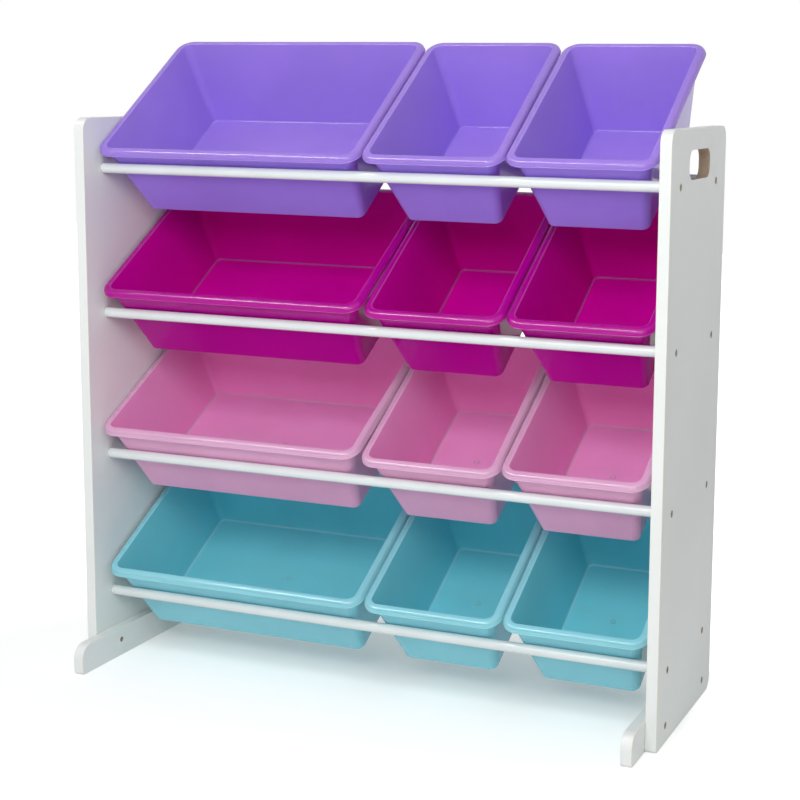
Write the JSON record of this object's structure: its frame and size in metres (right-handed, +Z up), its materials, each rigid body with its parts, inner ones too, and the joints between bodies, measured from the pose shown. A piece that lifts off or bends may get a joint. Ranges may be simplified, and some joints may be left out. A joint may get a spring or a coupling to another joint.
{
  "type": "toy storage organizer",
  "caption": "Toy storage organizer: white side boards joined by steel rails that carry tiers of open plastic bins, leaned back with their openings to the front.",
  "frame": {"origin": "on the floor, in the middle of the object's width and depth", "axes": "+Z up; -Y towards the user, where the bins open; X along the rails, left to right"},
  "size_m": [0.857, 0.3468, 0.8948],
  "materials": {
    "board_white": "smooth white laminate on fibreboard, eased edges",
    "rail_white": "semi-gloss white powder coat",
    "plug_white": "moulded, slightly satin",
    "screw_zinc": "zinc plated",
    "insert_brass": "plain turned",
    "bin_purple": "moulded polypropylene, satin gloss",
    "bin_magenta": "moulded polypropylene, satin gloss",
    "bin_pink": "moulded polypropylene, satin gloss",
    "bin_aqua": "moulded polypropylene, satin gloss"
  },
  "bodies": {
    "frame": {"left_side_board": "board_white", "left_foot": "board_white", "left_rail_plugs": "plug_white", "left_rail_screws": "screw_zinc", "left_foot_screws": "screw_zinc", "left_foot_inserts": "insert_brass", "right_side_board": "board_white", "right_foot": "board_white", "right_rail_plugs": "plug_white", "right_rail_screws": "screw_zinc", "right_foot_screws": "screw_zinc", "right_foot_inserts": "insert_brass", "top_front_rail": "rail_white", "top_back_rail": "rail_white", "upper_front_rail": "rail_white", "upper_back_rail": "rail_white", "lower_front_rail": "rail_white", "lower_back_rail": "rail_white", "bottom_front_rail": "rail_white", "bottom_back_rail": "rail_white"},
    "top_large_bin": {"top_large_bin": "bin_purple"},
    "top_middle_bin": {"top_middle_bin": "bin_purple"},
    "top_right_bin": {"top_right_bin": "bin_purple"},
    "upper_large_bin": {"upper_large_bin": "bin_magenta"},
    "upper_middle_bin": {"upper_middle_bin": "bin_magenta"},
    "upper_right_bin": {"upper_right_bin": "bin_magenta"},
    "lower_large_bin": {"lower_large_bin": "bin_pink"},
    "lower_middle_bin": {"lower_middle_bin": "bin_pink"},
    "lower_right_bin": {"lower_right_bin": "bin_pink"},
    "bottom_large_bin": {"bottom_large_bin": "bin_aqua"},
    "bottom_middle_bin": {"bottom_middle_bin": "bin_aqua"},
    "bottom_right_bin": {"bottom_right_bin": "bin_aqua"}
  },
  "joints": [
    {"name": "top_large_bin_lift", "type": "slide", "parent": "frame", "child": "top_large_bin", "axis": [0, -0.5621, 0.8271], "range_m": [0, 0.18]},
    {"name": "top_middle_bin_lift", "type": "slide", "parent": "frame", "child": "top_middle_bin", "axis": [0, -0.5534, 0.8329], "range_m": [0, 0.18]},
    {"name": "top_right_bin_lift", "type": "slide", "parent": "frame", "child": "top_right_bin", "axis": [0, -0.5446, 0.8387], "range_m": [0, 0.18]},
    {"name": "upper_large_bin_tip", "type": "hinge", "parent": "frame", "child": "upper_large_bin", "pos_m": [0, 0.09646, 0.5078], "axis": [-1, 0, 0], "range_deg": [0, 30]},
    {"name": "upper_middle_bin_tip", "type": "hinge", "parent": "frame", "child": "upper_middle_bin", "pos_m": [0, 0.09646, 0.5078], "axis": [-1, 0, 0], "range_deg": [0, 32]},
    {"name": "upper_right_bin_tip", "type": "hinge", "parent": "frame", "child": "upper_right_bin", "pos_m": [0, 0.09646, 0.5078], "axis": [-1, 0, 0], "range_deg": [0, 32]},
    {"name": "lower_large_bin_tip", "type": "hinge", "parent": "frame", "child": "lower_large_bin", "pos_m": [0, 0.09646, 0.3025], "axis": [-1, 0, 0], "range_deg": [0, 28]},
    {"name": "lower_middle_bin_tip", "type": "hinge", "parent": "frame", "child": "lower_middle_bin", "pos_m": [0, 0.09646, 0.3025], "axis": [-1, 0, 0], "range_deg": [0, 30]},
    {"name": "lower_right_bin_tip", "type": "hinge", "parent": "frame", "child": "lower_right_bin", "pos_m": [0, 0.09646, 0.3025], "axis": [-1, 0, 0], "range_deg": [0, 29]},
    {"name": "bottom_large_bin_tip", "type": "hinge", "parent": "frame", "child": "bottom_large_bin", "pos_m": [0, 0.09646, 0.0972], "axis": [-1, 0, 0], "range_deg": [0, 28]},
    {"name": "bottom_middle_bin_tip", "type": "hinge", "parent": "frame", "child": "bottom_middle_bin", "pos_m": [0, 0.09646, 0.0972], "axis": [-1, 0, 0], "range_deg": [0, 29]},
    {"name": "bottom_right_bin_tip", "type": "hinge", "parent": "frame", "child": "bottom_right_bin", "pos_m": [0, 0.09646, 0.0972], "axis": [-1, 0, 0], "range_deg": [0, 29]}
  ]
}
